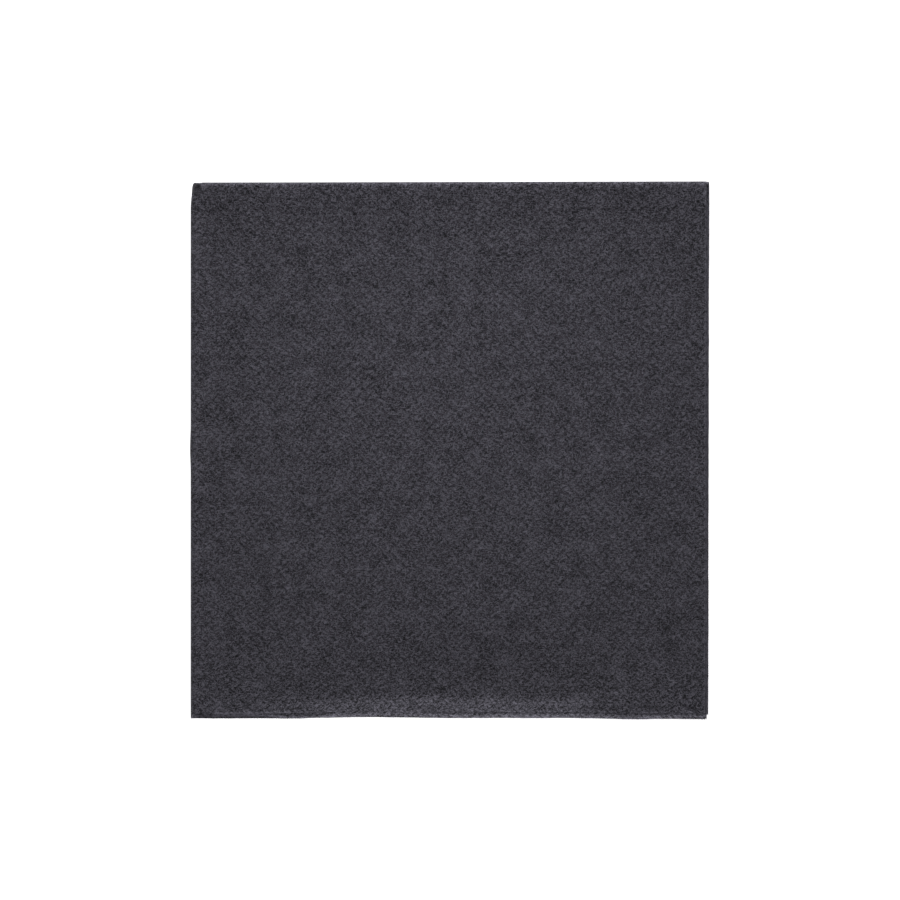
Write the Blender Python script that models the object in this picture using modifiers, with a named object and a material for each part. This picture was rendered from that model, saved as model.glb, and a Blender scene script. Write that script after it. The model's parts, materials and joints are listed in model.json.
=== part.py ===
"""A quarter-folded two-ply paper napkin that lies flat.

Metres, +Z up out of the top leaf. The sheet was folded once along its top edge (+Y) and then along its
left edge (-X), so its cut edges are at the right (+X) and the bottom (-Y), and its closed corner is at
the top left. The leaves are counted upwards from the table: 1 and 2 make the lower half, and 3 and 4
the upper half, which opens about the second fold. The origin is under the middle of the outline.

Both plies are divided where the folds are. Each leaf is a flat panel of each ply, and each fold is a
set of nested half-round strips, so the upper half can turn while the strips between the halves bend.
"""

import math

import bmesh
import bpy

# The folded outline, from the folds to the cut edges that reach furthest
FOLDED_WIDTH = 0.160
FOLDED_DEPTH = 0.1656

# One embossed tissue ply, and the air between it and whatever it meets
PLY_THICKNESS = 0.0002
PLY_GAP = 0.00025

# How far each leaf's cut edge stands back from the outline, by the leaf's number
RIGHT_SETBACKS = {1: 0.0, 2: 0.0005, 3: 0.00095, 4: 0.0011}
BOTTOM_SETBACKS = {1: 0.0014, 2: 0.0006, 3: 0.0, 4: 0.0019}

# Facets round each half-round fold
FOLD_STEPS = 12

# The dark tissue: linear colour and how matt it is
TISSUE_COLOUR = (0.045, 0.043, 0.052, 1.0)
TISSUE_ROUGHNESS = 0.95

# The stack of plies from the table up, as (leaf, ply): the outer ply is outside in each half
STACK = [
    (1, "outer"),
    (1, "inner"),
    (2, "inner"),
    (2, "outer"),
    (3, "outer"),
    (3, "inner"),
    (4, "inner"),
    (4, "outer"),
]
LAYER_PITCH = PLY_THICKNESS + PLY_GAP
STACK_HEIGHT = len(STACK) * LAYER_PITCH - PLY_GAP
HALF_HEIGHT = len(STACK) / 2 * LAYER_PITCH - PLY_GAP

# The folds' axes: the first fold runs along X in each half, the second along Y at mid height
FIRST_FOLD_Y = FOLDED_DEPTH / 2 - HALF_HEIGHT / 2
SECOND_FOLD_X = STACK_HEIGHT / 2 - FOLDED_WIDTH / 2
MID_HEIGHT = STACK_HEIGHT / 2

# Where the flat panels start, a gap clear of the strips, which end at their fold's axis
PANEL_LEFT = SECOND_FOLD_X + PLY_GAP
PANEL_TOP = FIRST_FOLD_Y - PLY_GAP


def clear_scene():
    """Remove every object, so that the part stands alone."""
    for old in list(bpy.data.objects):
        bpy.data.objects.remove(old, do_unlink=True)


def napkin_collection():
    """Return a new collection for the napkin's pieces, linked to the scene."""
    collection = bpy.data.collections.new("quarter_folded_napkin")
    bpy.context.scene.collection.children.link(collection)
    return collection


def tissue(name):
    """Return a matt dark tissue material of its own for one piece."""
    material = bpy.data.materials.new(name + "_tissue")
    material.use_nodes = True
    shader = material.node_tree.nodes["Principled BSDF"]
    shader.inputs["Base Color"].default_value = TISSUE_COLOUR
    shader.inputs["Roughness"].default_value = TISSUE_ROUGHNESS
    shader.inputs["Metallic"].default_value = 0.0
    return material


def add_body(collection, name, location):
    """Add an empty that carries one half of the napkin."""
    empty = bpy.data.objects.new(name, None)
    empty.location = location
    empty.empty_display_size = FOLDED_WIDTH / 8
    collection.objects.link(empty)
    return empty


def add_piece(collection, body, name, mesh, location):
    """Add a named mesh with its own material under a body, placed in world coordinates."""
    mesh.materials.append(tissue(name))
    piece = bpy.data.objects.new(name, mesh)
    piece.parent = body
    piece.location = [place - start for place, start in zip(location, body.location)]
    collection.objects.link(piece)
    return piece


def add_panel(collection, body, leaf, ply, layer):
    """Add one leaf's flat panel of one ply, at its layer of the stack."""
    right = FOLDED_WIDTH / 2 - RIGHT_SETBACKS[leaf]
    bottom = BOTTOM_SETBACKS[leaf] - FOLDED_DEPTH / 2
    size = (right - PANEL_LEFT, PANEL_TOP - bottom, PLY_THICKNESS)
    centre = ((right + PANEL_LEFT) / 2, (PANEL_TOP + bottom) / 2, layer * LAYER_PITCH + PLY_THICKNESS / 2)

    name = f"leaf_{leaf}_{ply}_ply"
    block = bmesh.new()
    bmesh.ops.create_cube(block, size=1.0)
    bmesh.ops.scale(block, vec=size, verts=block.verts)
    mesh = bpy.data.meshes.new(name)
    block.to_mesh(mesh)
    block.free()
    return add_piece(collection, body, name, mesh, centre)


def add_fold_strip(collection, body, name, length, outer_radius, centre):
    """Add a half-round strip of one ply along X, bulging towards +Y, centred on a fold's axis."""
    radius = outer_radius - PLY_THICKNESS / 2
    mesh = bpy.data.meshes.new(name)
    ends = [(-length / 2, 0.0, -radius), (length / 2, 0.0, -radius)]
    mesh.from_pydata(ends, [(0, 1)], [])
    strip = add_piece(collection, body, name, mesh, centre)

    turn = strip.modifiers.new("half_turn", "SCREW")
    turn.axis = "X"
    turn.angle = math.pi
    turn.steps = FOLD_STEPS
    turn.render_steps = FOLD_STEPS
    skin = strip.modifiers.new("ply_thickness", "SOLIDIFY")
    skin.thickness = PLY_THICKNESS
    skin.offset = 0.0
    return strip


def add_first_fold(collection, body, half, leaves, centre_z):
    """Add the two nested strips that join a half's leaves at the top edge."""
    right = FOLDED_WIDTH / 2 - max(RIGHT_SETBACKS[leaf] for leaf in leaves)
    centre = ((right + PANEL_LEFT) / 2, FIRST_FOLD_Y, centre_z)
    for nested, ply in enumerate(("outer", "inner")):
        name = f"first_fold_{half}_{ply}_ply"
        radius = HALF_HEIGHT / 2 - nested * LAYER_PITCH
        add_fold_strip(collection, body, name, right - PANEL_LEFT, radius, centre)


def add_second_fold(collection, body):
    """Add the four nested strips that join the lower half to the upper half at the left edge."""
    strips = [
        ("second_fold_wrap_outer_ply", (1, 4)),
        ("second_fold_wrap_inner_ply", (1, 4)),
        ("second_fold_core_inner_ply", (2, 3)),
        ("second_fold_core_outer_ply", (2, 3)),
    ]
    for nested, (name, leaves) in enumerate(strips):
        bottom = max(BOTTOM_SETBACKS[leaf] for leaf in leaves) - FOLDED_DEPTH / 2
        centre = (SECOND_FOLD_X, (PANEL_TOP + bottom) / 2, MID_HEIGHT)
        radius = STACK_HEIGHT / 2 - nested * LAYER_PITCH
        strip = add_fold_strip(collection, body, name, PANEL_TOP - bottom, radius, centre)
        strip.rotation_euler.z = math.pi / 2


def build():
    clear_scene()
    collection = napkin_collection()
    lower_half = add_body(collection, "lower_half", (0.0, 0.0, 0.0))
    upper_half = add_body(collection, "upper_half", (SECOND_FOLD_X, 0.0, MID_HEIGHT))
    for layer, (leaf, ply) in enumerate(STACK):
        add_panel(collection, lower_half if leaf < 3 else upper_half, leaf, ply, layer)
    add_first_fold(collection, lower_half, "lower", (1, 2), HALF_HEIGHT / 2)
    add_first_fold(collection, upper_half, "upper", (3, 4), STACK_HEIGHT - HALF_HEIGHT / 2)
    add_second_fold(collection, lower_half)


build()
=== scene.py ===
"""The looks of a quarter-folded two-ply paper napkin, dark and embossed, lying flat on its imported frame.

Metres, +Z up out of the top leaf. The first fold is the top edge (+Y), the second the left edge (-X),
and the cut edges are at the right and the bottom. Leaves count up from the table: 1 and 2 are the lower
half, 3 and 4 the upper half, which opens about the second fold. Each piece is one ply of one leaf, or
one ply of a fold with a flat margin on each side, so the plies meet edge to edge with no step.

A point of the tissue is named by where it is on its leaf (across, along), by how far it has turned round
the first fold (first, from a quarter turn on the wrapping leaves 1 and 4 to minus a quarter turn on the
core leaves 2 and 3) and by how far it has turned round the second (second, from 0 below to pi above).
"""

import json
import math

import bpy
import numpy as np
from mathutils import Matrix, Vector


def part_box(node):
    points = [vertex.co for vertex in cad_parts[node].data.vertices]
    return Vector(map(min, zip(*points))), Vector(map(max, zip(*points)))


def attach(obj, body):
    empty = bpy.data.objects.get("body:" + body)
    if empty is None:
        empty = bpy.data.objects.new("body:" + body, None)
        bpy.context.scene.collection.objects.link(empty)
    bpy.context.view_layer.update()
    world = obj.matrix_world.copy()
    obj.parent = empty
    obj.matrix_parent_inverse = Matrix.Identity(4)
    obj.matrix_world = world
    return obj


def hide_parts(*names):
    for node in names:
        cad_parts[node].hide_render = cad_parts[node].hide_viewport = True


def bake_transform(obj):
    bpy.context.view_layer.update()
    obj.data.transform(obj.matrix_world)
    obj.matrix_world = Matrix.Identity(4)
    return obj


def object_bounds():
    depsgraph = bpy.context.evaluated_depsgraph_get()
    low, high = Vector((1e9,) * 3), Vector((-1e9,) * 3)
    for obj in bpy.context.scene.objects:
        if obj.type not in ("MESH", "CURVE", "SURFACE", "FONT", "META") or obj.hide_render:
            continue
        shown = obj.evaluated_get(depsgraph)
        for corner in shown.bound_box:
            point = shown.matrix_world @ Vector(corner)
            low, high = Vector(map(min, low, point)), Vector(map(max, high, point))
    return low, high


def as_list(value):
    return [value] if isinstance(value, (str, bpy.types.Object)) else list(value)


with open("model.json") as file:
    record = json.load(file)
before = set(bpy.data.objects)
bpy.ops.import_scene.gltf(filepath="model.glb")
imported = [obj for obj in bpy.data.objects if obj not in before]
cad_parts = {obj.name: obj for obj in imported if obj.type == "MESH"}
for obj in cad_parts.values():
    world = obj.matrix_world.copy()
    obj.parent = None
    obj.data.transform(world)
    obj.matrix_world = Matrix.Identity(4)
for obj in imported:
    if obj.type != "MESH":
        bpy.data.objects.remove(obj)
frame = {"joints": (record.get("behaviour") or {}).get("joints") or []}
cad_low, cad_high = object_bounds()

MM = 0.001

# The tissue: each ply, the air between a leaf's plies, and half the air between the two halves
PLY = 0.13 * MM
PLY_AIR = 0.10 * MM
CORE_AIR = 0.125 * MM

# Air between a half's two leaves: at the folds it fills the frame's height, and inside it settles
HALF_HEIGHT = (cad_high.z - cad_low.z) / 2 - CORE_AIR
FOLD_AIR = HALF_HEIGHT - 4 * PLY - 2 * PLY_AIR
SETTLED_AIR = 0.42 * MM
FOLD_REACH = 5.0 * MM

# The air left in the stack at the cut edges, where the knife has crimped it
CRIMPED_LEAF_AIR = 0.07 * MM
CRIMPED_PLY_AIR = 0.035 * MM
CRIMPED_CORE_AIR = 0.05 * MM

# The folds' lines, from the frame
HINGE = Vector(frame["joints"][0]["pos_m"])
FOLD_X = HINGE.x
OUTLINE_TOP = cad_high.y

# The first fold is flatter than a half round: its bulge reaches out this many times its radius
FULLNESS = 2.0
FOLD_Y = OUTLINE_TOP - FULLNESS * HALF_HEIGHT / 2

# The flat margin of tissue that each fold strip has beside its half round
MARGIN = 5.0 * MM
LEAF_LEFT = FOLD_X + MARGIN
LEAF_TOP = FOLD_Y - MARGIN

# Where each leaf's cut edges are, from the frame
CUT_RIGHT = {leaf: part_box(f"leaf_{leaf}_outer_ply")[1].x for leaf in (1, 2, 3, 4)}
CUT_BOTTOM = {leaf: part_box(f"leaf_{leaf}_outer_ply")[0].y for leaf in (1, 2, 3, 4)}
OUTLINE_RIGHT = max(CUT_RIGHT.values())
OUTLINE_BOTTOM = min(CUT_BOTTOM.values())

# How far the inner ply's cut edges stand back from the outer ply's, by leaf
PLY_SETBACK = {1: 0.12 * MM, 2: 0.10 * MM, 3: 0.25 * MM, 4: 0.15 * MM}

# Mesh points across and along a leaf, and round each fold
POINTS = {"outer": (170, 178), "inner": (100, 104)}
FOLD_TURNS = 18
MARGIN_STEPS = 6

QUARTER = math.pi / 2

# The plies from the table up: the outer ply is outside in each half
STACK = [
    (1, "outer"),
    (1, "inner"),
    (2, "inner"),
    (2, "outer"),
    (3, "outer"),
    (3, "inner"),
    (4, "inner"),
    (4, "outer"),
]


# ---------------------------------------------------------------- shape of the folded tissue

def ease(value):
    """Rise smoothly from 0 to 1 as the value goes from 0 to 1."""
    held = np.clip(value, 0.0, 1.0)
    return held * held * (3.0 - 2.0 * held)


def hump(value, centre, reach):
    """A smooth hump of height 1 at its centre, which is over at its reach on both sides."""
    return 1.0 - ease(np.abs(value - centre) / reach)


def ripple(seed, across, along, wavelength, waves=7):
    """A gentle uneven ripple of about unit size in the given wavelength, always the same for one seed."""
    draw = np.random.default_rng(seed)
    total = np.zeros(np.broadcast(across, along).shape)
    for _ in range(waves):
        heading = draw.uniform(0.0, math.pi)
        length = wavelength * draw.uniform(0.7, 1.6)
        shift = draw.uniform(0.0, 2 * math.pi)
        run = across * math.cos(heading) + along * math.sin(heading)
        total = total + np.sin(2 * math.pi * run / length + shift)
    return total / math.sqrt(waves / 2)


def away_from_folds(across, along):
    """0 on either fold's line, rising to 1 inside the leaf."""
    from_second = 1.0 - np.exp(-np.clip(across - FOLD_X, 0.0, None) / FOLD_REACH)
    from_first = 1.0 - np.exp(-np.clip(FOLD_Y - along, 0.0, None) / FOLD_REACH)
    return ease(from_second) * ease(from_first)


def past_margin(across):
    """0 on the second fold's margins, which keep their height so that they can turn, and 1 past them."""
    return ease((across - LEAF_LEFT) / (6 * MM))


# How far in from each cut edge the crimp reaches, and where the bottom's is shorter, so steeper
RIGHT_CRIMP = 3.5 * MM
BOTTOM_CRIMP = 16.0 * MM
STEEP_BOTTOM_CRIMP = 7.5 * MM
STEEP_FROM, STEEP_TO = -68 * MM, 52 * MM


def crimp(across, along):
    """1 at the knife-cut edges, 0 inside: how far the cut has pressed the stack together."""
    steep = ease((across - STEEP_FROM) / (18 * MM)) * ease((STEEP_TO - across) / (16 * MM))
    bottom_reach = BOTTOM_CRIMP + (STEEP_BOTTOM_CRIMP - BOTTOM_CRIMP) * steep
    bottom = 1.0 - ease((along - OUTLINE_BOTTOM) / bottom_reach)
    right = 1.0 - ease((OUTLINE_RIGHT - across) / RIGHT_CRIMP)
    return 1.0 - (1.0 - bottom) * (1.0 - right)


# Where the top leaf swells or sinks: its height, then the middle and the reach of it each way
RIDGE = {"height": 0.78 * MM, "x": 4 * MM, "x_reach": 62 * MM, "y": -71 * MM, "y_reach": 12 * MM}
DENT = {"height": -0.14 * MM, "x": 80 * MM, "x_reach": 7 * MM, "y": -9 * MM, "y_reach": 7 * MM}


def relief(across, along):
    """Extra air under the top leaf: the low ridge by the bottom edge, the dent and the slack."""
    total = 0.05 * MM * ripple(41, across, along, 17 * MM) + 0.02 * MM * ripple(42, across, along, 7 * MM)
    for form in (RIDGE, DENT):
        column = hump(across, form["x"], form["x_reach"])
        total = total + form["height"] * column * hump(along, form["y"], form["y_reach"])
    return total


# Two sharp creases: how high each stands, its half width, how steeply its line falls to the right, a
# point on that line, and the middle of the creased stretch
LEFT_CREASE = (0.22 * MM, 1.2 * MM, 0.84, (-64.7 * MM, -78.2 * MM), -63 * MM)
RIGHT_CREASE = (0.30 * MM, 0.9 * MM, 0.5, (74 * MM, -80.4 * MM), 74 * MM)
CREASE_REACH = 5 * MM


def creases(across, along):
    """How far the two creases lift the top leaf near its bottom corners."""
    total = 0.0
    for lift, half_width, fall, (x, y), middle in (LEFT_CREASE, RIGHT_CREASE):
        from_line = (along - y) + fall * (across - x)
        total = total + lift * hump(from_line, 0.0, half_width) * hump(across, middle, CREASE_REACH)
    return total


def airs(across, along):
    """The air inside the lower and upper leaves' pairs, between plies, and between the halves."""
    inside = away_from_folds(across, along)
    pressed = crimp(across, along) * inside * past_margin(across)
    sag = 0.05 * MM * ripple(31, across, along, 23 * MM)
    pinch = 0.35 * MM * hump(across, FOLD_X, 1.8 * MM) * hump(along, FOLD_Y, 3.0 * MM)
    lower = FOLD_AIR + (SETTLED_AIR + sag - FOLD_AIR) * inside
    upper = FOLD_AIR + (SETTLED_AIR + relief(across, along) - FOLD_AIR) * inside - pinch
    lower = lower + (CRIMPED_LEAF_AIR - lower) * pressed
    upper = upper + (CRIMPED_LEAF_AIR - upper) * pressed + creases(across, along)
    plies = PLY_AIR + (CRIMPED_PLY_AIR - PLY_AIR) * pressed
    core = CORE_AIR + (CRIMPED_CORE_AIR - CORE_AIR) * pressed
    return lower, upper, plies, core


# How long a cut edge takes to sink, and how far its lip turns down
DROOP_REACH = 0.9 * MM
LIP = 0.05 * MM


def droop(leaf, across, along):
    """How far a leaf's edge sinks, past the shorter leaves that stop underneath it and at its own lip."""
    plies = airs(across, along)[2]
    sunk = np.zeros(np.broadcast(across, along).shape)
    for below in range(1, leaf):
        past = bottom_cut(below, "outer", across) - along
        sunk = sunk + (2 * PLY + plies + CRIMPED_LEAF_AIR) * ease(past / DROOP_REACH)
    if leaf > 1:
        from_cut = along - bottom_cut(leaf, "outer", across)
        sunk = sunk + LIP * (1.0 - ease(from_cut / DROOP_REACH)) * past_margin(across)
    return sunk


def settle_outline(x, y):
    """Draw the closed corner in, let the left edge belly out at mid depth, and slant the top edge."""
    up = np.clip((y - 75.5 * MM) / (7.5 * MM), 0.0, 1.2)
    leftness = np.exp(-np.clip(x - (FOLD_X - HALF_HEIGHT), 0.0, None) / (7.0 * MM))
    lean = (0.55 * up - 0.2 * hump(y, 0.5 * MM, 8 * MM)) * MM * leftness
    top_slant = (0.06 + 0.17 * x / (80 * MM)) * MM * ease((y - 40 * MM) / (40 * MM))
    return x + lean, y + top_slant


def folded(across, along, first, second, ply, face):
    """Where the given face of a ply lies, in metres."""
    lower, upper, plies, core = airs(across, along)
    air = np.where(second < QUARTER, lower, upper)
    outermost = air / 2 + 2 * PLY + plies
    radius = {
        ("inner", "in"): air / 2,
        ("inner", "out"): air / 2 + PLY,
        ("outer", "in"): air / 2 + PLY + plies,
        ("outer", "out"): outermost,
    }[(ply, face)]
    from_middle = core + outermost + radius * np.sin(first)
    middle = core + lower + 4 * PLY + 2 * plies
    x = across - from_middle * np.sin(second)
    y = along + FULLNESS * radius * np.cos(first)
    z = middle - from_middle * np.cos(second)
    wrapped = mixed_by_second(0.0, droop(4, across, along), second)
    enclosed = mixed_by_second(droop(2, across, along), droop(3, across, along), second)
    z = z - mixed_by_first(wrapped, enclosed, first)
    x, y = settle_outline(x, y)
    return np.stack([x, y, z], axis=-1)


def flat_place(across, along, first, second):
    """Where the point is on the unfolded sheet, from its middle: right and down as leaf 4 is seen."""
    second_arc = QUARTER * (HALF_HEIGHT + CORE_AIR)
    first_arc = QUARTER * HALF_HEIGHT / 2
    turned = 2 * second / math.pi - 1.0
    right = turned * (across - FOLD_X + second_arc)
    down = first / QUARTER * (FOLD_Y - along + first_arc)
    return right, down


# Painted light: how much lighter the dye is painted where light catches the cut edges and folds, 1 being
# half as bright again, and below 0 painted shade. These are each leaf's painted highlight at the left end
# of its bottom cut, and along its right cut, where the edge steps lie in half shadow.
LEFT_END_PAINTED_LIGHT = {1: 0.9, 2: 3.0, 3: 3.0, 4: 3.0}
RIGHT_CUT_PAINTED_LIGHT = {1: 3.4, 2: 3.4, 3: 2.0, 4: 2.0}


def bottom_painted_light(leaf, ply, across, along):
    """Painted highlight along the bottom cut, wider on leaf 3's middle, where a painted band runs dull at
    the cut and bright further in, and soft on leaf 4's, brightest on its creases.
    """
    from_cut = along - bottom_cut(leaf, ply, across)
    middle = hump(across, -5 * MM, 60 * MM)
    left_end = 1.0 - ease((across + 56 * MM) / (12 * MM))
    strength = 0.8 + 0.2 * hump(across, 31 * MM, 20 * MM)
    strength = strength + (LEFT_END_PAINTED_LIGHT[leaf] - strength) * left_end
    reach = (0.5 + 1.5 * middle) * MM if leaf == 3 else 0.7 * MM
    # Painted highlight on the cut edge, in place of light that the steps' half shadow takes away
    painted_lift = strength * (1.0 - ease(from_cut / reach))
    # On leaf 3's middle the painted light is dull at the cut and bright further in
    if leaf == 3:
        dull_then_lit = -0.1 + 1.1 * ease(from_cut / (1.7 * MM))
        painted_lift = painted_lift + (dull_then_lit - painted_lift) * hump(across, -14 * MM, 28 * MM)
    # Leaf 4 gets a soft painted highlight near its bottom cut and painted highlights along its crease
    # ridges
    if leaf == 4:
        soft = 0.3 * middle * (1.0 - ease(from_cut / (5 * MM)))
        painted_lift = np.maximum(painted_lift, soft) + 1.6 * creases(across, along) / (0.3 * MM)
    return painted_lift


def right_painted_light(leaf, ply, across, along):
    """Painted highlight along the right cut, where the edge steps lie in half shadow."""
    from_cut = right_cut(leaf, ply, along) - across
    return RIGHT_CUT_PAINTED_LIGHT[leaf] * (1.0 - ease(from_cut / (0.55 * MM)))


def painted_light(leaf, ply, across, along, first):
    """Painted light on the cut edges, the shoulders of both folds and the first fold's crown, with painted
    shade along the crown's outermost line.
    """
    outward = np.clip(np.cos(first), 0.0, 1.0)
    # Painted highlight on the crown's rounded flanks, turning to painted shade at its outermost line
    crown = 1.2 * outward ** 0.7 * (1.0 - 1.35 * outward ** 2)
    # Painted highlight on the shoulders beside both folds
    top_shoulder = 0.45 * (1.0 - ease((FOLD_Y - along) / (1.2 * MM))) * (1.0 - outward)
    left_shoulder = 0.5 * (1.0 - ease((across - FOLD_X) / (1.6 * MM)))
    shoulder = np.maximum(top_shoulder, left_shoulder)
    cuts = np.maximum(bottom_painted_light(leaf, ply, across, along), right_painted_light(leaf, ply, across, along))
    bent = np.where(outward > 0.5, crown, np.maximum(crown, shoulder))
    return np.where(outward > 0.01, bent, np.maximum(cuts, shoulder))


# The painted shade at the closed corner's pinch: how dark it is, its middle, its half size, and how softly
# it ends
PINCH_SHADE_DARKNESS = 1.35
PINCH_MIDDLE = (-78.05 * MM, 80.9 * MM)
PINCH_HALF_SIZE = (0.7 * MM, 1.5 * MM)
PINCH_SOFTNESS = (0.8 * MM, 1.8 * MM)


def pinch_shade(points):
    """How much painted shade darkens the upper side at the closed corner's pinch."""
    spot = PINCH_SHADE_DARKNESS * ease((points[:, 2] - HINGE.z) / (0.4 * MM))
    for axis in (0, 1):
        past = np.abs(points[:, axis] - PINCH_MIDDLE[axis]) - PINCH_HALF_SIZE[axis]
        spot = spot * (1.0 - ease(past / PINCH_SOFTNESS[axis]))
    return spot


# ---------------------------------------------------------------- stations along the tissue

def spaced(start, end, count, near_start, near_end):
    """Stations from start to end, closer together near each end by the given amounts."""
    even = np.linspace(0.0, 1.0, 2001)
    length = abs(end - start)
    density = 1.0 + near_start * np.exp(-even * length / (5 * MM))
    density = density + near_end * np.exp(-(1.0 - even) * length / (3 * MM))
    reached = np.concatenate([[0.0], np.cumsum((density[1:] + density[:-1]) / 2)])
    shares = np.interp(np.linspace(0.0, reached[-1], count), reached, even)
    return start + (end - start) * shares


def cut_ripple(leaf, ply, place, edge):
    """How far the cut wanders in and out along one ply's edge: edge 1 is the right, edge 2 the bottom."""
    seed = 100 * leaf + 10 * (ply == "inner") + edge
    return 0.02 * MM * ripple(seed, place, 0.0, 12 * MM) + 0.015 * MM * ripple(seed + 5, place, 0.0, 5 * MM)


def right_cut(leaf, ply, along):
    """How far right the ply reaches at a place along the edge."""
    setback = PLY_SETBACK[leaf] if ply == "inner" else 0.0
    lean = 0.14 * MM * along / (80 * MM) + 0.07 * MM * ease((along - 55 * MM) / (25 * MM))
    return CUT_RIGHT[leaf] + 0.10 * MM - setback + lean + cut_ripple(leaf, ply, along, 1)


# How each leaf's bottom cut swings at its left end: how far up, where that starts to fade, over what width
LEFT_SWINGS = {
    1: (-1.50 * MM, -46 * MM, 12 * MM),
    2: (-0.10 * MM, -60 * MM, 24 * MM),
    3: (0.75 * MM, -62 * MM, 14 * MM),
    4: (-0.45 * MM, -60 * MM, 30 * MM),
}


def bottom_cut(leaf, ply, across):
    """How far down the ply reaches at a place along the edge."""
    setback = PLY_SETBACK[leaf] if ply == "inner" else 0.0
    bow = -0.28 * MM * ease((across - 36 * MM) / (22 * MM)) - 0.12 * MM * hump(across, 57 * MM, 9 * MM)
    bow = bow + 0.30 * MM * hump(across, -24 * MM, 24 * MM)
    up, fades_from, width = LEFT_SWINGS[leaf]
    swing = up * (1.0 - ease((across - fades_from) / width))
    if leaf == 2:
        swing = swing - 0.45 * MM * ease((across - 68 * MM) / (8 * MM))
    return CUT_BOTTOM[leaf] + setback + bow + swing + cut_ripple(leaf, ply, across, 2)


def mixed_by_first(wrap, core, first):
    """Go from the core leaf's value to the wrapping leaf's value round the first fold."""
    share = (1.0 + np.sin(first)) / 2
    return core + (wrap - core) * share


def wrapped_cut(below, above, second):
    """Keep the lower leaf's cut for the lower quarter turn of the second fold, then go to the upper's."""
    return below + (above - below) * ease((second - QUARTER) / QUARTER)


def mixed_by_second(below, above, second):
    """Go from the lower leaf's value to the upper leaf's value round the second fold."""
    share = (1.0 - np.cos(second)) / 2
    return below + (above - below) * share


# How much closer together a leaf's mesh points stand by its seam and by its cut
CLOSER_BY_SEAM = 0.6
CLOSER_BY_CUT = 5.0


def leaf_across(count):
    """Shares of the way from the leaf's left seam to its right cut."""
    places = spaced(LEAF_LEFT, OUTLINE_RIGHT, count, CLOSER_BY_SEAM, CLOSER_BY_CUT)
    return (places - LEAF_LEFT) / (OUTLINE_RIGHT - LEAF_LEFT)


def leaf_along(count):
    """Shares of the way from the leaf's top seam to its bottom cut."""
    places = spaced(LEAF_TOP, OUTLINE_BOTTOM, count, CLOSER_BY_SEAM, CLOSER_BY_CUT)
    return (places - LEAF_TOP) / (OUTLINE_BOTTOM - LEAF_TOP)


def margin_shares():
    """Shares of the way across a flat margin, from its seam to the fold's line."""
    return np.linspace(0.0, 1.0, MARGIN_STEPS + 1)


def leaf_grid(leaf, ply, counts):
    """The stations of one leaf's ply, as (across, along, first, second)."""
    s, t = np.meshgrid(leaf_across(counts[0]), leaf_along(counts[1]), indexing="ij")
    plain_across = LEAF_LEFT + s * (OUTLINE_RIGHT - LEAF_LEFT)
    plain_along = LEAF_TOP + t * (OUTLINE_BOTTOM - LEAF_TOP)
    across = LEAF_LEFT + s * (right_cut(leaf, ply, plain_along) - LEAF_LEFT)
    along = LEAF_TOP + t * (bottom_cut(leaf, ply, plain_across) - LEAF_TOP)
    first = np.full_like(s, QUARTER if leaf in (1, 4) else -QUARTER)
    second = np.full_like(s, 0.0 if leaf < 3 else math.pi)
    return across, along, first, second


def first_fold_grid(wrap, core, ply, counts):
    """The stations of one half's first fold: a margin, the half turn and a margin."""
    steps = margin_shares()
    turn = np.linspace(QUARTER, -QUARTER, FOLD_TURNS + 1)[1:-1]
    along_path = np.concatenate([LEAF_TOP + steps * MARGIN, np.full(len(turn), FOLD_Y)])
    along_path = np.concatenate([along_path, FOLD_Y - steps * MARGIN])
    first_path = np.concatenate([np.full(len(steps), QUARTER), turn, np.full(len(steps), -QUARTER)])
    s, along = np.meshgrid(leaf_across(counts[0]), along_path, indexing="ij")
    first = np.broadcast_to(first_path, s.shape)
    right = mixed_by_first(right_cut(wrap, ply, LEAF_TOP), right_cut(core, ply, LEAF_TOP), first)
    across = LEAF_LEFT + s * (right - LEAF_LEFT)
    second = np.full_like(s, 0.0 if wrap == 1 else math.pi)
    return across, along, first, second


def second_fold_grid(below, above, ply, counts):
    """The stations of the second fold round two leaves, up to the middle of the first fold."""
    steps = margin_shares()
    turn = np.linspace(0.0, math.pi, FOLD_TURNS + 1)[1:-1]
    across_path = np.concatenate([LEAF_LEFT - steps * MARGIN, np.full(len(turn), FOLD_X)])
    across_path = np.concatenate([across_path, FOLD_X + steps * MARGIN])
    second_path = np.concatenate([np.zeros(len(steps)), turn, np.full(len(steps), math.pi)])

    wraps = below == 1
    t = leaf_along(counts[1])
    half_turn = np.linspace(QUARTER, -QUARTER, FOLD_TURNS + 1)
    kept = half_turn[1 : FOLD_TURNS // 2 + 1]
    first_up = np.concatenate([np.full(len(steps) - 1 + len(t), QUARTER), kept])
    shares = np.concatenate([t[::-1], np.full(len(steps) - 1 + len(kept), -1.0)])
    rise = np.concatenate([np.zeros(len(t)), steps[1:], np.ones(len(kept))])

    shares, second = np.meshgrid(shares, second_path, indexing="ij")
    across = np.broadcast_to(across_path, shares.shape)
    first = np.broadcast_to(first_up[:, None], shares.shape) * (1.0 if wraps else -1.0)
    cuts = (bottom_cut(below, ply, across), bottom_cut(above, ply, across))
    bottom = wrapped_cut(*cuts, second) if wraps else mixed_by_second(*cuts, second)
    on_leaf = LEAF_TOP + shares * (bottom - LEAF_TOP)
    on_margin = LEAF_TOP + np.broadcast_to(rise[:, None], shares.shape) * MARGIN
    along = np.where(shares < 0.0, on_margin, on_leaf)
    return across, along, first, second


# ---------------------------------------------------------------- thin closed meshes

def face_quads(rows, columns, start):
    """The quads between grid points numbered row by row from start."""
    numbers = start + np.arange(rows * columns).reshape(rows, columns)
    corners = [numbers[:-1, :-1], numbers[1:, :-1], numbers[1:, 1:], numbers[:-1, 1:]]
    return np.stack(corners, axis=-1).reshape(-1, 4)


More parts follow.
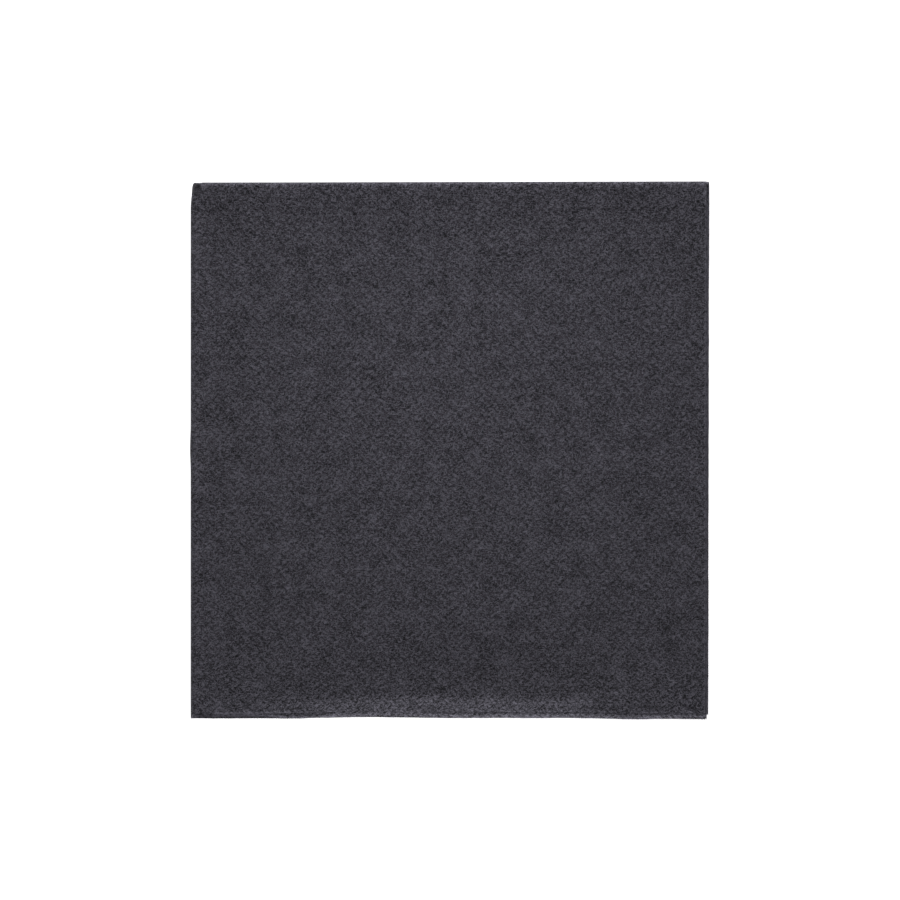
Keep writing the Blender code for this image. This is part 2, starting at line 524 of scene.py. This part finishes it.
def rim_loop(rows, columns):
    """The grid's border points in order, once round."""
    numbers = np.arange(rows * columns).reshape(rows, columns)
    sides = [numbers[:-1, 0], numbers[-1, :-1], numbers[:0:-1, -1], numbers[0, :0:-1]]
    return np.concatenate(sides)


def signed_volume(points, quads):
    """Six times the volume that the faces enclose, positive if they face outwards."""
    middle = points.mean(0)
    a, b, c, d = (points[quads[:, corner]] - middle for corner in range(4))
    return float((np.cross(a, b) * c).sum() + (np.cross(a, c) * d).sum())


def bake_layout(rows, columns):
    """Own places on the bake map: most of it for the side that shows, a strip for the other side."""
    down, right = np.meshgrid(np.linspace(0.01, 0.99, rows), np.linspace(0.0, 1.0, columns), indexing="ij")
    shown = np.stack([0.01 + 0.86 * right, down], axis=-1).reshape(-1, 2)
    hidden = np.stack([0.89 + 0.07 * right, down], axis=-1).reshape(-1, 2)
    return np.concatenate([shown, hidden])


def ply_mesh(name, grid, ply, leaf):
    """Make one ply as a thin closed mesh whose two faces follow the fold, with its flat place on it."""
    rows, columns = grid[0].shape
    outside = folded(*grid, ply, "out").reshape(-1, 3)
    inside = folded(*grid, ply, "in").reshape(-1, 3)
    points = np.concatenate([outside, inside])
    count = rows * columns

    loop = rim_loop(rows, columns)
    after = np.roll(loop, -1)
    rim = np.stack([after, loop, loop + count, after + count], axis=-1)
    quads = np.concatenate([
        face_quads(rows, columns, 0),
        face_quads(rows, columns, count)[:, ::-1],
        rim,
    ])
    if signed_volume(points, quads) < 0.0:
        quads = quads[:, ::-1]

    mesh = bpy.data.meshes.new(name)
    mesh.from_pydata(points.tolist(), [], quads.tolist())
    right, down = flat_place(*grid)
    side = np.concatenate([np.ones(count), -np.ones(count)])
    place = np.stack([np.tile(right.ravel(), 2), np.tile(down.ravel(), 2), side], axis=-1)
    attribute = mesh.attributes.new("sheet_place", "FLOAT_VECTOR", "POINT")
    attribute.data.foreach_set("vector", place.astype(np.float32).ravel())
    # Painted light on the cut edges and folds, less the painted shade at the closed corner, in one
    # attribute
    pale = np.tile(painted_light(leaf, ply, *grid[:3]).ravel(), 2) - pinch_shade(points)
    attribute = mesh.attributes.new("painted_light", "FLOAT", "POINT")
    attribute.data.foreach_set("value", pale.astype(np.float32))

    corners = np.zeros(len(mesh.loops), np.int32)
    mesh.loops.foreach_get("vertex_index", corners)
    layout = bake_layout(rows, columns)[corners]
    first_rim = 4 * (len(quads) - len(rim))
    around = np.repeat(np.arange(len(rim)) / len(rim), 4)
    across_rim = np.where(corners[first_rim:] < count, 0.97, 0.99)
    layout[first_rim:] = np.stack([across_rim, 0.01 + 0.98 * around], axis=-1)
    bake = mesh.uv_layers.new(name="OFBake")
    bake.data.foreach_set("uv", layout.astype(np.float32).ravel())

    mesh.shade_smooth()
    mesh.set_sharp_from_angle(angle=math.radians(45))
    return mesh


def add_piece(name, mesh, finish):
    """Add a finished mesh with its material."""
    piece = bpy.data.objects.new(name, mesh)
    bpy.context.scene.collection.objects.link(piece)
    mesh.materials.append(finish)
    return piece


# ---------------------------------------------------------------- node expressions

class Value:
    """A node's output in an expression: arithmetic on it adds Math nodes."""

    def __init__(self, nodes, socket):
        self.nodes = nodes
        self.socket = socket

    def maths(self, operation, *others, swap=False):
        values = [self, *others]
        if swap:
            values.reverse()
        sockets = {number: value for number, value in enumerate(values)}
        return self.nodes.add("ShaderNodeMath", {"operation": operation}, sockets)

    def __add__(self, other):
        return self.maths("ADD", other)

    def __sub__(self, other):
        return self.maths("SUBTRACT", other)

    def __rsub__(self, other):
        return self.maths("SUBTRACT", other, swap=True)

    def __mul__(self, other):
        return self.maths("MULTIPLY", other)

    def __truediv__(self, other):
        return self.maths("DIVIDE", other)

    __radd__ = __add__
    __rmul__ = __mul__

    def size(self):
        return self.maths("ABSOLUTE")

    def fraction(self):
        return self.maths("FRACT")

    def least(self, other):
        return self.maths("MINIMUM", other)

    def most(self, other):
        return self.maths("MAXIMUM", other)

    def step(self, start, end):
        """0 before start and 1 after end, smooth between; the other way round if start is the larger."""
        settings = {"interpolation_type": "SMOOTHSTEP"}
        low, high = sorted((start, end))
        ends = {3: 0.0, 4: 1.0} if start < end else {3: 1.0, 4: 0.0}
        return self.nodes.add("ShaderNodeMapRange", settings, {0: self, 1: low, 2: high, **ends})


class Nodes:
    """One tree's nodes, all added in one way."""

    def __init__(self, tree):
        self.tree = tree

    def set(self, node, key, value):
        socket = node.inputs[key]
        if isinstance(value, Value):
            self.tree.links.new(value.socket, socket)
        else:
            socket.default_value = value

    def add(self, kind, settings, sockets, output=0):
        """Add a node: its settings first, then its sockets' values or links. Its output is returned."""
        node = self.tree.nodes.new(kind)
        for key, value in settings.items():
            setattr(node, key, value)
        for key, value in sockets.items():
            self.set(node, key, value)
        return Value(self, node.outputs[output])

    def parts(self, vector):
        """The three numbers of a vector."""
        first = self.add("ShaderNodeSeparateXYZ", {}, {0: vector})
        return [Value(self, socket) for socket in first.socket.node.outputs]


class Finish(Nodes):
    """One material's nodes, which lead to its Principled shader."""

    def __init__(self, name):
        self.material = bpy.data.materials.new(name)
        self.material.use_nodes = True
        super().__init__(self.material.node_tree)

    def shade(self, sockets):
        """Set or link the shader's sockets, and return the material."""
        for key, value in sockets.items():
            self.set(self.tree.nodes["Principled BSDF"], key, value)
        return self.material


# ---------------------------------------------------------------- the tissue's finish

DYE = (0.0432, 0.0414, 0.0510)

# The embossing: one falling and one rising bar in each cell, in shares of the cell
EMBOSS_CELL = (3.132 * MM, 3.203 * MM)
BAR_LENGTH = 0.73
BAR_WIDTH = 0.15
BAR_TURN = math.radians(42)
FALLING_BAR = (0.41, 0.89)
RISING_BAR = (0.92, 0.47)


def embossed_bar(right, down, centre, turn):
    """How deep the embossing presses here for one bar of each cell: 1 in the bar, 0 outside it."""
    x = (right - centre[0] + 0.5).fraction() - 0.5
    y = (down - centre[1] + 0.5).fraction() - 0.5
    cos, sin = math.cos(turn), math.sin(turn)
    lengthwise = (x * cos + y * sin).size()
    sideways = (y * cos - x * sin).size()
    end = BAR_LENGTH / 2
    return lengthwise.step(end, end * 0.72) * sideways.step(BAR_WIDTH * 0.85, BAR_WIDTH * 0.2)


def noise(nodes, place, scale, detail, seed, stretch=(1.0, 1.0), swirl=0.0):
    """A noise over the flat sheet, about 0.5 on average."""
    shift = nodes.add("ShaderNodeVectorMath", {"operation": "MULTIPLY_ADD"}, {
        0: place,
        1: (stretch[0], stretch[1], 0.02),
        2: (0.31 * seed, 0.17 * seed, 0.05 * seed),
    })
    return nodes.add("ShaderNodeTexNoise", {"noise_dimensions": "3D"}, {
        "Vector": shift,
        "Scale": scale,
        "Detail": detail,
        "Roughness": 0.5,
        "Distortion": swirl,
    })


def strokes(nodes, place, scale, seed, stretch, width):
    """Thin worm-like fibre strokes: 1 on a stroke, 0 between strokes."""
    field = noise(nodes, place, scale, 1.0, seed, stretch, 0.8)
    return (field - 0.5).size().step(width, 0.0)


def tissue_finish(name):
    """Dark dyed tissue: fine fibre grain, embossed bars with painted shade in their grooves, painted light
    on edges and folds, and soft matt fuzz.
    """
    nodes = Finish(name)
    place = nodes.add("ShaderNodeAttribute", {"attribute_name": "sheet_place"}, {}, "Vector")
    right, down, side = nodes.parts(place)

    cell_right = right / EMBOSS_CELL[0]
    cell_down = down / EMBOSS_CELL[1]
    falling = embossed_bar(cell_right, cell_down, FALLING_BAR, BAR_TURN)
    rising = embossed_bar(cell_right, cell_down, RISING_BAR, -BAR_TURN)
    pressed = falling.most(rising)

    pale = nodes.add("ShaderNodeAttribute", {"attribute_name": "painted_light"}, {}, "Fac")
    blotch = noise(nodes, place, 1 / (7 * MM), 4.0, 1)
    pulp = noise(nodes, place, 1 / (1.0 * MM), 2.0, 2, (0.75, 1.3), 1.6)
    level = strokes(nodes, place, 1 / (0.7 * MM), 3, (0.5, 1.3), 0.07)
    upright = strokes(nodes, place, 1 / (0.7 * MM), 4, (1.2, 0.6), 0.045)
    fine = noise(nodes, place, 1 / (0.45 * MM), 1.0, 5, (0.8, 1.2), 0.6)
    fibres = level.most(upright)
    uneven = noise(nodes, place, 1 / (1.9 * MM), 1.0, 6)

    grain = 1.1 * (blotch - 0.5) + 1.25 * (pulp - 0.5) + 2.0 * (fibres - 0.3) + 1.9 * (fine - 0.5)
    # The painted light attribute brightens the dye and quiets the grain here
    tone = 1.0 + grain * (1.0 - 0.3 * pale)
    # Painted shade in the pressed bars of the embossing
    painted_groove_shade = pressed * (0.92 * uneven - 0.07)
    tone = (tone * (1.0 - painted_groove_shade) * (1.0 + 0.5 * pale)).most(0.12)
    colour = nodes.add("ShaderNodeVectorMath", {"operation": "SCALE"}, {0: DYE, 3: tone})

    height = fibres * (0.02 * MM) + pulp * (0.08 * MM) + fine * (0.04 * MM)
    bump = nodes.add("ShaderNodeBump", {}, {
        "Strength": 1.0,
        "Distance": 1.0,
        "Height": height - side * pressed * (0.06 * MM),
    })
    return nodes.shade({
        "Base Color": colour,
        "Roughness": (0.9 + 0.12 * (pulp - 0.5)).least(1.0),
        "Normal": bump,
        "Sheen Weight": 0.04,
        "Sheen Roughness": 0.5,
        "Specular IOR Level": 0.12,
    })


# ---------------------------------------------------------------- the pieces

def build_leaves(finish):
    """The eight plies of the four leaves, each riding on its half."""
    made = {}
    for leaf in (1, 2, 3, 4):
        for ply in ("outer", "inner"):
            name = f"napkin_leaf_{leaf}_{ply}_ply"
            piece = add_piece(name, ply_mesh(name, leaf_grid(leaf, ply, POINTS[ply]), ply, leaf), finish)
            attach(piece, "lower_half" if leaf < 3 else "upper_half")
            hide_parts(f"leaf_{leaf}_{ply}_ply")
            made[(leaf, ply)] = piece
    return made


def build_first_folds(finish):
    """The two plies round the first fold of each half."""
    made = {}
    for half, wrap, core in (("lower", 1, 2), ("upper", 4, 3)):
        for ply in ("outer", "inner"):
            name = f"napkin_first_fold_{half}_{ply}_ply"
            grid = first_fold_grid(wrap, core, ply, POINTS[ply])
            piece = add_piece(name, ply_mesh(name, grid, ply, wrap), finish)
            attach(piece, f"{half}_half")
            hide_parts(f"first_fold_{half}_{ply}_ply")
            made[(half, ply)] = piece
    return made


def nearest_to_middle(ply, wraps):
    """The least distance from the mid plane that a strip's tissue has where it starts to bend."""
    outermost = FOLD_AIR / 2 + 2 * PLY + PLY_AIR
    if wraps:
        return CORE_AIR + outermost
    reach = {"outer": 2 * PLY + PLY_AIR, "inner": PLY}[ply]
    return CORE_AIR + outermost - FOLD_AIR / 2 - reach


def build_second_folds(finish):
    """The four strips round the second fold, between the halves; they are not set to bend."""
    made = {}
    for around, below, above in (("wrap", 1, 4), ("core", 2, 3)):
        for ply in ("outer", "inner"):
            name = f"napkin_second_fold_{around}_{ply}_ply"
            grid = second_fold_grid(below, above, ply, POINTS[ply])
            piece = add_piece(name, ply_mesh(name, grid, ply, below), finish)
            reach = 0.85 * nearest_to_middle(ply, around == "wrap")
            start = (FOLD_X, 0.0, HINGE.z - reach)
            end = (FOLD_X, 0.0, HINGE.z + reach)
            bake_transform(piece)
            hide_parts(f"second_fold_{around}_{ply}_ply")
            made[(around, ply)] = piece
    return made


# The radius of each ply's middle round the first fold
FOLD_RADIUS = {"outer": FOLD_AIR / 2 + 1.5 * PLY + PLY_AIR, "inner": FOLD_AIR / 2 + 0.5 * PLY}


def declare_sheets(first_folds, second_folds, fibres, table):
    """Work out how large each ply's piece was before it was folded; the sizes are not passed on, and what
    it lies on is not used.
    """
    fringes = {(1, "outer"): [fibres["lower"]], (4, "outer"): [fibres["upper"]]}
    for key in STACK:
        leaf, ply = key
        flat = (CUT_RIGHT[leaf] - LEAF_LEFT, LEAF_TOP - CUT_BOTTOM[leaf])
        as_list(fringes.get(key, []))

    for (half, ply), piece in first_folds.items():
        wrap = 1 if half == "lower" else 4
        flat = (CUT_RIGHT[wrap] - LEAF_LEFT, 2 * MARGIN + math.pi * FOLD_RADIUS[ply])

    for (around, ply), piece in second_folds.items():
        below = 1 if around == "wrap" else 2
        outward = FOLD_RADIUS[ply] if around == "wrap" else -FOLD_RADIUS[ply]
        radius = CORE_AIR + FOLD_AIR / 2 + 2 * PLY + PLY_AIR + outward
        length = FOLD_Y - CUT_BOTTOM[below] + QUARTER * FOLD_RADIUS[ply]
        flat = (2 * MARGIN + math.pi * radius, length)


# ---------------------------------------------------------------- loose fibres at the cut edges

FIBRE_SPACING = 0.55 * MM
FIBRE_LENGTH = 0.75 * MM
FIBRE_RADIUS = 0.014 * MM


def fibre_tree():
    """A nodes tree that grows short bent fibres out of the lines it is given."""
    tree = bpy.data.node_groups.new("cut_edge_fibres", "GeometryNodeTree")
    kinds = {
        "Lines": "NodeSocketGeometry",
        "Spacing": "NodeSocketFloat",
        "Length": "NodeSocketFloat",
        "Radius": "NodeSocketFloat",
        "Seed": "NodeSocketInt",
        "Material": "NodeSocketMaterial",
    }
    for label, kind in kinds.items():
        tree.interface.new_socket(label, in_out="INPUT", socket_type=kind)
    tree.interface.new_socket("Fibres", in_out="OUTPUT", socket_type="NodeSocketGeometry")
    nodes = Nodes(tree)
    given = tree.nodes.new("NodeGroupInput").outputs
    lines, spacing, length, radius, seed, material = (Value(nodes, given[label]) for label in kinds)

    def add(kind, sockets, output=0, **settings):
        return nodes.add(kind, settings, sockets, output)

    def draw(low, high):
        """A vector drawn at random for each fibre, between low and high."""
        return add("FunctionNodeRandomValue", {0: low, 1: high, "Seed": seed}, data_type="FLOAT_VECTOR")

    def vector(operation, first, second):
        return add("ShaderNodeVectorMath", {0: first, 1: second}, operation=operation)

    curves = add("GeometryNodeMeshToCurve", {"Mesh": lines})
    roots = add("GeometryNodeCurveToPoints", {"Curve": curves, "Length": spacing}, mode="LENGTH")
    outward = add("GeometryNodeInputNamedAttribute", {"Name": "outward"}, data_type="FLOAT_VECTOR")
    jitter = draw((-0.4 * MM, -0.4 * MM, -0.03 * MM), (0.4 * MM, 0.4 * MM, 0.03 * MM))
    slide = vector("MULTIPLY", vector("CROSS_PRODUCT", outward, (0, 0, 1)), jitter)
    moved = add("GeometryNodeSetPosition", {"Geometry": roots, "Offset": slide})
    heading = vector("ADD", outward, draw((-0.9, -0.9, 0.0), (0.9, 0.9, 0.4)))
    turn = add("FunctionNodeAlignRotationToVector", {"Vector": heading}, axis="Z")

    bend = add("ShaderNodeCombineXYZ", {"X": length * 0.2, "Z": length * 0.5})
    tip = add("ShaderNodeCombineXYZ", {"Z": length})
    root = (0.0, 0.0, -0.08 * MM)
    path = {"Resolution": 3, "Start": root, "Middle": bend, "End": tip}
    strand = add("GeometryNodeCurveQuadraticBezier", path)
    section = add("GeometryNodeCurvePrimitiveCircle", {"Resolution": 3, "Radius": radius})
    fibre = add("GeometryNodeCurveToMesh", {"Curve": strand, "Profile Curve": section, "Fill Caps": True})

    share = add("FunctionNodeRandomValue", {2: 0.35, 3: 1.0, "Seed": seed}, output=1, data_type="FLOAT")
    spin = draw((0.0, 0.0, 0.0), (0.0, 0.0, 6.28))
    placed = {"Points": moved, "Instance": fibre, "Rotation": turn, "Scale": share}
    grown = add("GeometryNodeInstanceOnPoints", placed)
    spun = add("GeometryNodeRotateInstances", {"Instances": grown, "Rotation": spin})
    real = add("GeometryNodeRealizeInstances", {"Geometry": spun})
    finished = add("GeometryNodeSetMaterial", {"Geometry": real, "Material": material})
    nodes.set(tree.nodes.new("NodeGroupOutput"), "Fibres", finished)
    return tree


def set_input(modifier, label, value):
    """Set a nodes modifier's input by its socket's identifier."""
    for item in modifier.node_group.interface.items_tree:
        if item.item_type == "SOCKET" and item.in_out == "INPUT" and item.name == label:
            modifier[item.identifier] = value


# From here to the right, the bottom cut is ragged and grows three times the fibres
RAGGED_FROM = 48 * MM


def cut_lines(leaf, ply):
    """The middle of a leaf's cut edges as (points, outward) lines: right, bottom and the ragged end."""
    grid = leaf_grid(leaf, ply, POINTS[ply])
    middle = (folded(*grid, ply, "out") + folded(*grid, ply, "in")) / 2
    right = middle[-1, :]
    bottom = middle[:, -1]
    ragged = bottom[bottom[:, 0] > RAGGED_FROM]
    down = (0.0, -1.0, 0.0)
    return [(right, (1.0, 0.0, 0.0)), (bottom, down), (ragged, down), (ragged, down)]


def line_mesh(name, lines):
    """A mesh of separate lines, with the way out of the tissue at each point."""
    points = np.concatenate([line for line, _ in lines])
    outward = np.concatenate([np.tile(way, (len(line), 1)) for line, way in lines])
    edges = []
    start = 0
    for line, _ in lines:
        numbers = range(start, start + len(line))
        edges.extend(zip(numbers[:-1], numbers[1:]))
        start += len(line)
    mesh = bpy.data.meshes.new(name)
    mesh.from_pydata(points.tolist(), edges, [])
    attribute = mesh.attributes.new("outward", "FLOAT_VECTOR", "POINT")
    attribute.data.foreach_set("vector", outward.astype(np.float32).ravel())
    return mesh


def fibre_finish():
    """Loose dyed fibre, a little paler than the tissue."""
    nodes = Finish("loose_fibre")
    place = nodes.add("ShaderNodeTexCoord", {}, {}, "Object")
    mottle = nodes.add("ShaderNodeTexNoise", {}, {"Vector": place, "Scale": 1 / (0.8 * MM), "Detail": 1.0})
    tone = 0.8 + 0.8 * mottle
    colour = nodes.add("ShaderNodeVectorMath", {"operation": "SCALE"}, {0: DYE, 3: tone})
    return nodes.shade({"Base Color": colour, "Roughness": 0.9 + 0.1 * mottle, "Specular IOR Level": 0.2})


# Below this height a fibre levels out towards the table
LEVELS_OUT = 0.12 * MM


def laid_on_table(heights):
    """Lift what would hang below the table, so that it lies on it."""
    lifted = LEVELS_OUT * np.exp(np.minimum(heights / LEVELS_OUT, 1.0) - 1.0)
    return np.where(heights < LEVELS_OUT, lifted, heights)


def grow_fibres(name, tree, lines, seed, finish):
    """Grow fibres along the lines and turn them into one plain mesh piece."""
    source = bpy.data.objects.new(name + "_lines", line_mesh(name + "_lines", lines))
    bpy.context.scene.collection.objects.link(source)
    modifier = source.modifiers.new("fibres", "NODES")
    modifier.node_group = tree
    inputs = {
        "Spacing": FIBRE_SPACING,
        "Length": FIBRE_LENGTH,
        "Radius": FIBRE_RADIUS,
        "Seed": seed,
        "Material": finish,
    }
    for label, value in inputs.items():
        set_input(modifier, label, value)
    graph = bpy.context.evaluated_depsgraph_get()
    mesh = bpy.data.meshes.new_from_object(source.evaluated_get(graph), depsgraph=graph)
    source.modifiers.remove(modifier)
    bpy.data.objects.remove(source)
    mesh.name = name
    piece = bpy.data.objects.new(name, mesh)
    bpy.context.scene.collection.objects.link(piece)

    corners = np.zeros(len(mesh.loops), np.int32)
    mesh.loops.foreach_get("vertex_index", corners)
    points = np.zeros(len(mesh.vertices) * 3, np.float32)
    mesh.vertices.foreach_get("co", points)
    points = points.reshape(-1, 3)
    points[:, 2] = laid_on_table(points[:, 2])
    mesh.vertices.foreach_set("co", points.ravel())
    mesh.update()
    span = points.max(0) - points.min(0)
    places = ((points - points.min(0)) / span)[corners][:, :2]
    layout = mesh.uv_layers.new(name="OFBake")
    layout.data.foreach_set("uv", places.astype(np.float32).ravel())
    return piece


def build_fibres():
    """The loose fibres of each half's cut edges."""
    tree = fibre_tree()
    finish = fibre_finish()
    made = {}
    for half, leaves, seed in (("lower", (1, 2), 5), ("upper", (3, 4), 8)):
        lines = [line for leaf in leaves for ply in ("outer", "inner") for line in cut_lines(leaf, ply)]
        piece = grow_fibres(f"napkin_{half}_cut_edge_fibres", tree, lines, seed, finish)
        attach(piece, f"{half}_half")
        made[half] = piece
    return made


# ---------------------------------------------------------------- floor, light and camera

FLOOR_DROP = 0.3 * MM
FLOOR_HALF = 3.0


def build_floor():
    """A plain pale floor, lit so well that it stays pale round the napkin."""
    finish = Finish("pale_floor").shade({
        "Base Color": (0.8, 0.8, 0.8, 1.0),
        "Roughness": 0.9,
        "Emission Color": (1.0, 1.0, 1.0, 1.0),
        "Emission Strength": 0.8,
    })
    mesh = bpy.data.meshes.new("floor")
    signs = [(-1, -1), (1, -1), (1, 1), (-1, 1)]
    corners = [(x * FLOOR_HALF, y * FLOOR_HALF, -FLOOR_DROP) for x, y in signs]
    mesh.from_pydata(corners, [], [(0, 1, 2, 3)])
    floor = add_piece("floor", mesh, finish)
    return floor


def add_softbox(name, place, target, width, height, power):
    """A soft light that faces the target."""
    light = bpy.data.lights.new(name, "AREA")
    light.shape = "RECTANGLE"
    light.size = width
    light.size_y = height
    light.energy = power
    lamp = bpy.data.objects.new(name, light)
    lamp.location = place
    lamp.rotation_euler = (Vector(target) - Vector(place)).to_track_quat("-Z", "Y").to_euler()
    lamp.visible_camera = False
    bpy.context.scene.collection.objects.link(lamp)
    return light


# Two wide soft lights, low behind the top edge and in front of the bottom edge: where they stand and
# their size. The floor glows by itself, so that it stays pale under them.
SOFTBOX_X = 0.03
SOFTBOX_Y = 1.00
SOFTBOX_Z = 0.11
SOFTBOX_SIZE = (0.60, 0.16)


def build_light():
    """The low lights behind and in front, a narrow one overhead, and a pale room."""
    middle = (0.0, 0.0, 0.0)
    add_softbox("back_softbox", (SOFTBOX_X, SOFTBOX_Y, SOFTBOX_Z), middle, *SOFTBOX_SIZE, 20.0)
    add_softbox("front_softbox", (SOFTBOX_X, -SOFTBOX_Y, SOFTBOX_Z), middle, *SOFTBOX_SIZE, 21.0)
    overhead = add_softbox("overhead_softbox", (0.0, 0.05, 1.75), (0.0, 0.05, 0.0), 0.12, 0.12, 0.030)
    overhead.spread = math.radians(10)
    world = bpy.data.worlds.new("pale_room")
    world.use_nodes = True
    background = world.node_tree.nodes["Background"]
    background.inputs["Color"].default_value = (1.0, 1.0, 1.0, 1.0)
    background.inputs["Strength"].default_value = 0.2
    bpy.context.scene.world = world


# How wide a square of the table the camera sees, and how far it stands aside from the middle
VIEWED_WIDTH = 0.2783
CAMERA_ASIDE = 0.1 * MM


def build_camera():
    """Straight down from above, far enough to be nearly free of perspective."""
    camera = bpy.data.cameras.new("overhead_camera")
    camera.lens = 200.0
    camera.sensor_width = 36.0
    distance = VIEWED_WIDTH * camera.lens / camera.sensor_width
    holder = bpy.data.objects.new("overhead_camera", camera)
    holder.location = (CAMERA_ASIDE, CAMERA_ASIDE, distance)
    bpy.context.scene.collection.objects.link(holder)
    bpy.context.scene.camera = holder
    bpy.context.scene.view_settings.view_transform = "Standard"


def build():
    finish = tissue_finish("dyed_tissue")
    leaves = build_leaves(finish)
    first_folds = build_first_folds(finish)
    second_folds = build_second_folds(finish)
    fibres = build_fibres()
    floor = build_floor()
    declare_sheets(first_folds, second_folds, fibres, floor.name)
    build_light()
    build_camera()


build()
